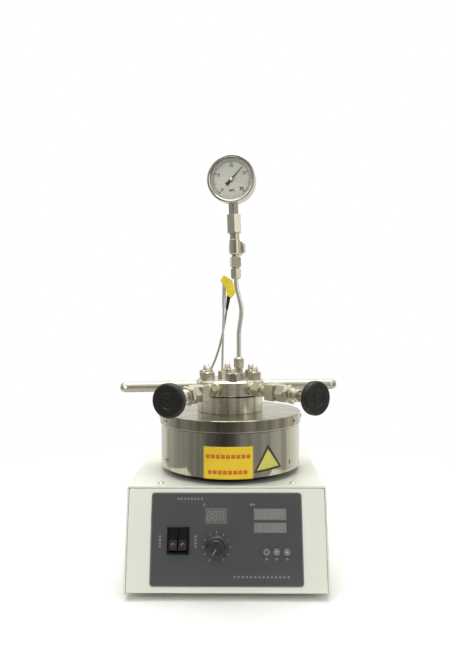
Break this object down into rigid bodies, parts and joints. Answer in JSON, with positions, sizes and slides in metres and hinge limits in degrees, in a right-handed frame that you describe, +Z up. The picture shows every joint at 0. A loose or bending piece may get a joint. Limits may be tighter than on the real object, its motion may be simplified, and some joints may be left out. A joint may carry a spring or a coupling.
{
  "type": "bench-top pressure reactor",
  "caption": "Small bench-top pressure reactor: bolted vessel with two needle valves, gauge and thermocouple, on a furnace and magnetic-stirrer case.",
  "frame": {"origin": "on the table, straight under the common axis of the furnace and the vessel", "axes": "+Z up; the control panel faces -Y; +X to the right of someone facing the panel"},
  "size_m": [0.2862, 0.3228, 0.5333],
  "materials": {
    "black_rubber": "matte",
    "case_paint": "satin powder coat",
    "circuit_board": "satin",
    "dark_base": "dark satin",
    "dial_paint": "matte",
    "display_window": "smoked",
    "fastener_steel": "plain",
    "gauge_glass": "clear",
    "gauge_steel": "polished",
    "gland_black": "satin",
    "hand_knob_black": "satin",
    "heat_sink": "extruded",
    "heater_aluminium": "turned",
    "inlet_black": "satin",
    "insulation": "fibre",
    "key_grey": "satin",
    "knob_black": "satin",
    "lead_grey": "braided",
    "lid_steel": "brushed",
    "motor_steel": "plated",
    "overlay_grey": "satin sheet",
    "pointer_black": "matte",
    "polished_steel": "polished",
    "rocker_black": "gloss",
    "rotor_aluminium": "turned",
    "satin_steel": "satin",
    "screw_steel": "plain",
    "seal_grey": "graphite",
    "switch_black": "gloss",
    "tube_steel": "drawn",
    "valve_steel": "forged and machined",
    "vessel_steel": "turned",
    "white_plastic": "smooth",
    "yellow_plastic": "moulded"
  },
  "bodies": {
    "root": {"base_tray": "case_paint", "burst_disc_holder": "valve_steel", "case_cover": "case_paint", "control_board": "circuit_board", "control_overlay": "overlay_grey", "display_modules": "display_window", "front_panel": "case_paint", "furnace_base": "dark_base", "furnace_lid": "lid_steel", "furnace_shell": "polished_steel", "gauge_bezel": "gauge_steel", "gauge_case": "gauge_steel", "gauge_coupling": "valve_steel", "gauge_dial": "dial_paint", "gauge_glass": "gauge_glass", "gauge_port_fitting": "valve_steel", "gauge_tee": "valve_steel", "gauge_tube": "tube_steel", "handle_rods": "satin_steel", "head_nuts": "fastener_steel", "head_studs": "fastener_steel", "heater_block": "heater_aluminium", "insulation_ring": "insulation", "lead_gland": "gland_black", "lead_strain_relief": "black_rubber", "left_valve_body": "valve_steel", "packing_glands": "valve_steel", "pan_head_screws": "screw_steel", "power_inlet": "inlet_black", "power_module": "heat_sink", "right_valve_body": "valve_steel", "rubber_feet": "black_rubber", "seal_ring": "seal_grey", "speed_potentiometer": "screw_steel", "stir_bar": "white_plastic", "stirrer_motor": "motor_steel", "switch_bezel": "switch_black", "thermocouple_gland": "valve_steel", "thermocouple_lead": "lead_grey", "thermocouple_plug": "yellow_plastic", "thermocouple_probe": "tube_steel", "tube_nuts": "valve_steel", "tube_union": "valve_steel", "valve_bonnets": "valve_steel", "valve_connectors": "valve_steel", "valve_lock_nuts": "valve_steel", "vessel_body": "vessel_steel", "vessel_head": "vessel_steel"},
    "left_stem": {"left_valve_stem": "valve_steel"},
    "left_knob": {"left_valve_knob": "hand_knob_black"},
    "right_stem": {"right_valve_stem": "valve_steel"},
    "right_knob": {"right_valve_knob": "hand_knob_black"},
    "pointer": {"gauge_pointer": "pointer_black"},
    "stirrer_knob": {"speed_knob": "knob_black"},
    "heat_rocker": {"heat_switch_rocker": "rocker_black"},
    "stir_rocker": {"stir_switch_rocker": "rocker_black"},
    "set_key": {"key_set": "key_grey"},
    "down_key": {"key_down": "key_grey"},
    "up_key": {"key_up": "key_grey"},
    "magnet_rotor": {"stir_rotor": "rotor_aluminium"}
  },
  "joints": [
    {"name": "left_valve_lift", "type": "slide", "parent": "root", "child": "left_stem", "axis": [-0.3987, -0.9171, 0], "range_m": [0, 0.003]},
    {"name": "left_valve_turn", "type": "hinge", "parent": "left_stem", "child": "left_knob", "pos_m": [-0.06623, -0.15232, 0.2293], "axis": [-0.3987, -0.9171, 0], "range_deg": [0, 1080]},
    {"name": "right_valve_lift", "type": "slide", "parent": "root", "child": "right_stem", "axis": [0.5948, -0.8039, 0], "range_m": [0, 0.003]},
    {"name": "right_valve_turn", "type": "hinge", "parent": "right_stem", "child": "right_knob", "pos_m": [0.0988, -0.13352, 0.2293], "axis": [0.5948, -0.8039, 0], "range_deg": [0, 1080]},
    {"name": "pressure_pointer", "type": "hinge", "parent": "root", "child": "pointer", "pos_m": [0.00177, -0.01079, 0.50145], "axis": [-0.1736, -0.9848, -0.0058], "range_deg": [-90, 180]},
    {"name": "speed_knob_turn", "type": "hinge", "parent": "root", "child": "stirrer_knob", "pos_m": [-0.0149, -0.1098, 0.05638], "axis": [0, -0.9676, 0.2526], "range_deg": [-300, 0]},
    {"name": "heat_rocker_tip", "type": "hinge", "parent": "root", "child": "heat_rocker", "pos_m": [-0.0646, -0.10624, 0.06289], "axis": [1, 0, 0], "range_deg": [0, 18]},
    {"name": "stir_rocker_tip", "type": "hinge", "parent": "root", "child": "stir_rocker", "pos_m": [-0.0536, -0.10624, 0.06289], "axis": [1, 0, 0], "range_deg": [0, 18]},
    {"name": "set_key_press", "type": "slide", "parent": "root", "child": "set_key", "axis": [0, 0.9676, -0.2526], "range_m": [0, 0.0005], "stiffness_N_per_m": 400},
    {"name": "down_key_press", "type": "slide", "parent": "root", "child": "down_key", "axis": [0, 0.9676, -0.2526], "range_m": [0, 0.0005], "stiffness_N_per_m": 400},
    {"name": "up_key_press", "type": "slide", "parent": "root", "child": "up_key", "axis": [0, 0.9676, -0.2526], "range_m": [0, 0.0005], "stiffness_N_per_m": 400},
    {"name": "rotor_spin", "type": "hinge", "parent": "root", "child": "magnet_rotor", "pos_m": [0, 0, 0.1195], "axis": [0, 0, 1], "continuous": true}
  ],
  "couplings": [
    {"joint": "left_valve_turn", "follows": "left_valve_lift", "rad_per_m": 6283.2},
    {"joint": "right_valve_turn", "follows": "right_valve_lift", "rad_per_m": 6283.2}
  ]
}
